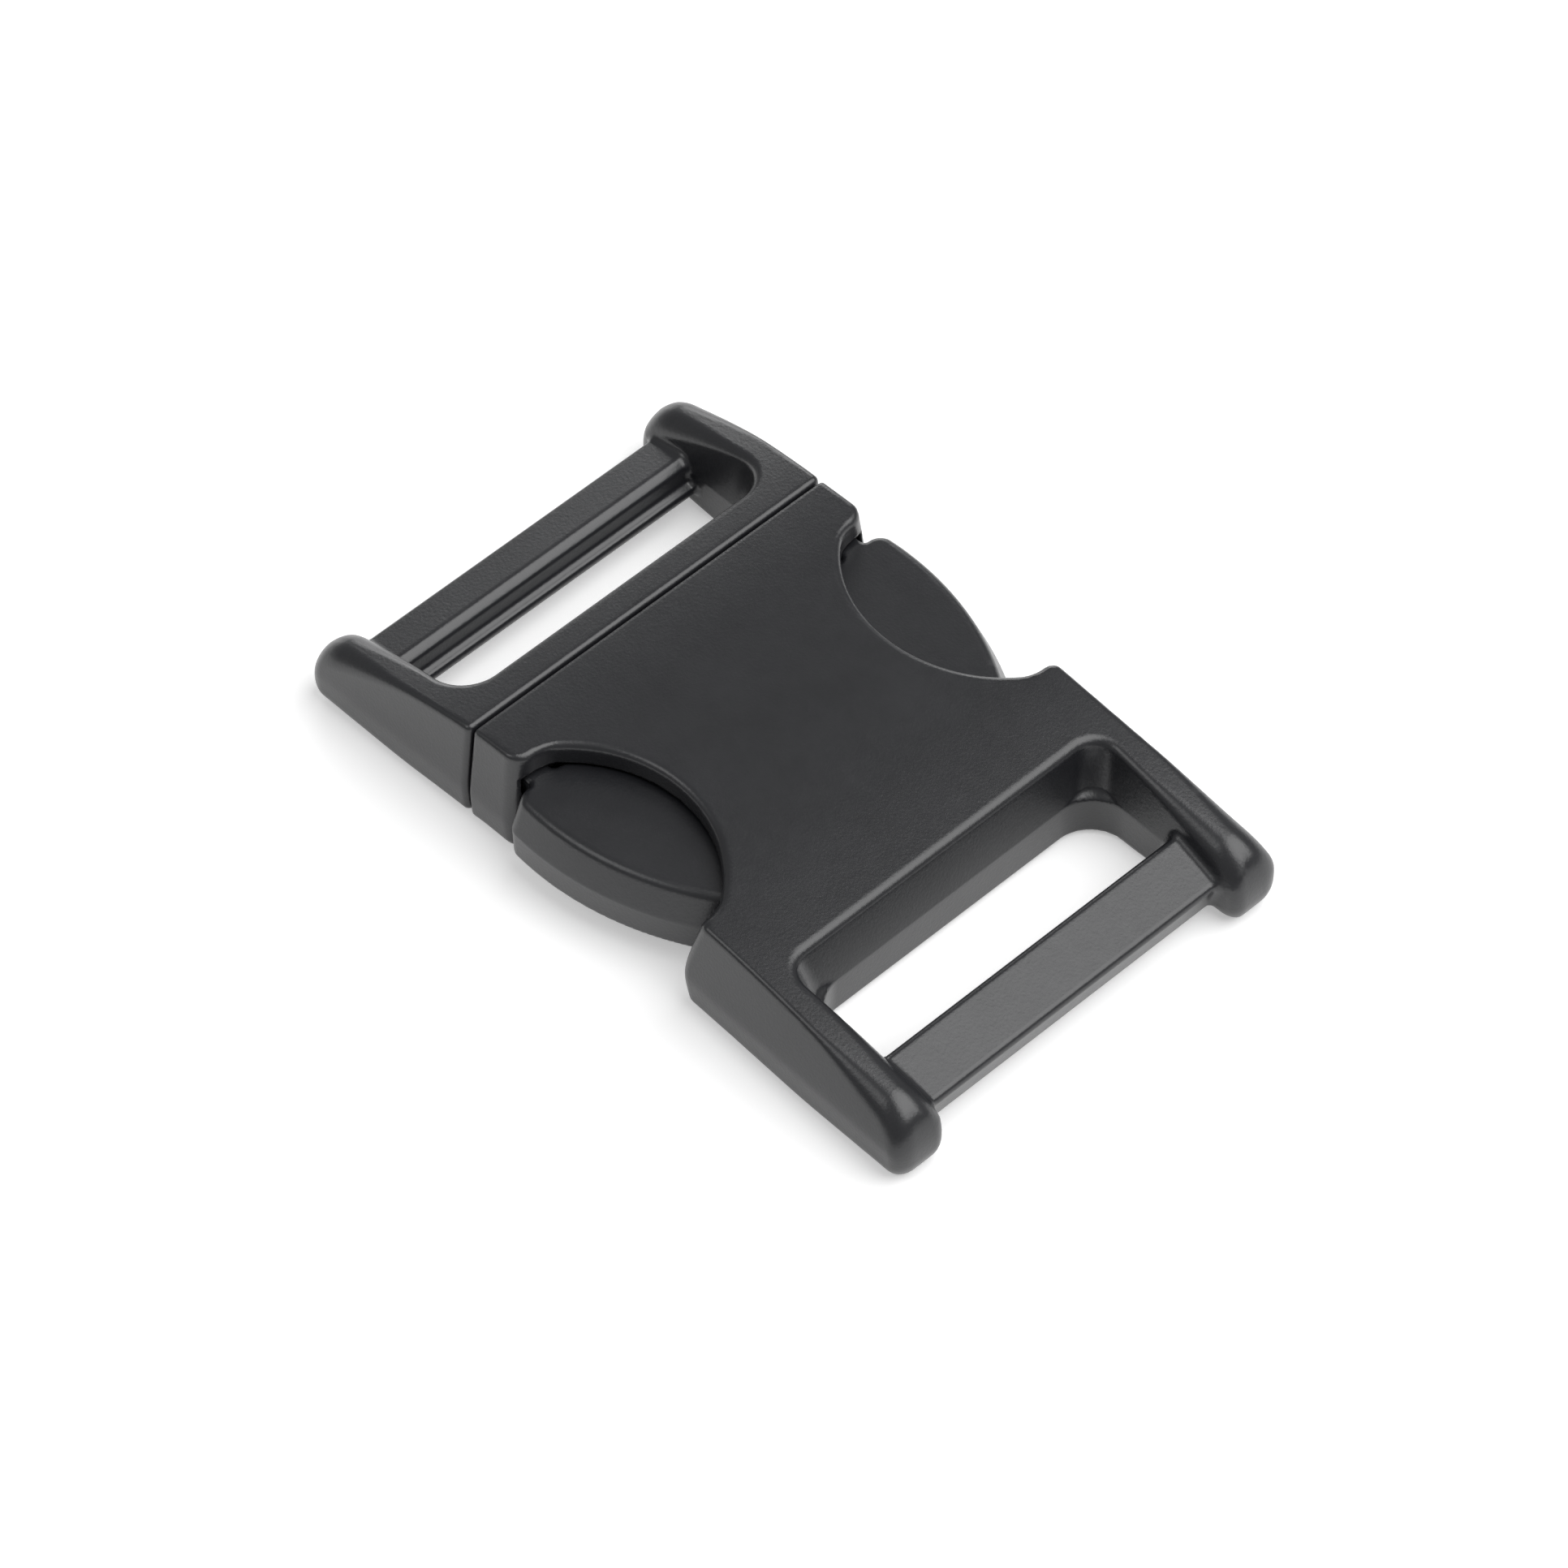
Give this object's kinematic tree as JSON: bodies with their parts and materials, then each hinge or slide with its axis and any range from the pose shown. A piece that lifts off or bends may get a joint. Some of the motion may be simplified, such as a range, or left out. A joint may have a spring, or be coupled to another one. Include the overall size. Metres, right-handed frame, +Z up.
{
  "type": "side-release buckle",
  "caption": "Contoured side-release buckle for flat webbing, closed, with an arched body, two squeeze arms in side windows and a webbing slot with a strap bar at each end.",
  "frame": {"origin": "under the middle of the closed buckle, on the surface that the two ends of its arched underside stand on", "axes": "+X from the plug to the socket, +Y across the webbing, +Z up through the arched top"},
  "size_m": [0.0592, 0.0364, 0.0093],
  "materials": {
    "moulded_plastic": "fine satin moulding texture, near-black"
  },
  "bodies": {
    "socket": {"socket_housing": "moulded_plastic", "socket_left_rail": "moulded_plastic", "socket_right_rail": "moulded_plastic", "socket_strap_bar": "moulded_plastic"},
    "plug": {"plug_base": "moulded_plastic", "plug_left_rail": "moulded_plastic", "plug_right_rail": "moulded_plastic", "plug_strap_bar": "moulded_plastic", "guide_tongue": "moulded_plastic"},
    "left_arm": {"left_release_arm": "moulded_plastic"},
    "right_arm": {"right_release_arm": "moulded_plastic"}
  },
  "joints": [
    {"name": "plug_slide", "type": "slide", "parent": "socket", "child": "plug", "axis": [-1, 0, 0], "range_m": [0, 0.03]},
    {"name": "left_arm_press", "type": "hinge", "parent": "plug", "child": "left_arm", "pos_m": [-0.01505, 0.0146, 0.0047], "axis": [0, 0, -1], "range_deg": [0, 16], "stiffness_Nm_per_rad": 0.3, "deforming": ["left_release_arm"]},
    {"name": "right_arm_press", "type": "hinge", "parent": "plug", "child": "right_arm", "pos_m": [-0.01505, -0.0146, 0.0047], "axis": [0, 0, 1], "range_deg": [0, 16], "stiffness_Nm_per_rad": 0.3, "deforming": ["right_release_arm"]}
  ]
}
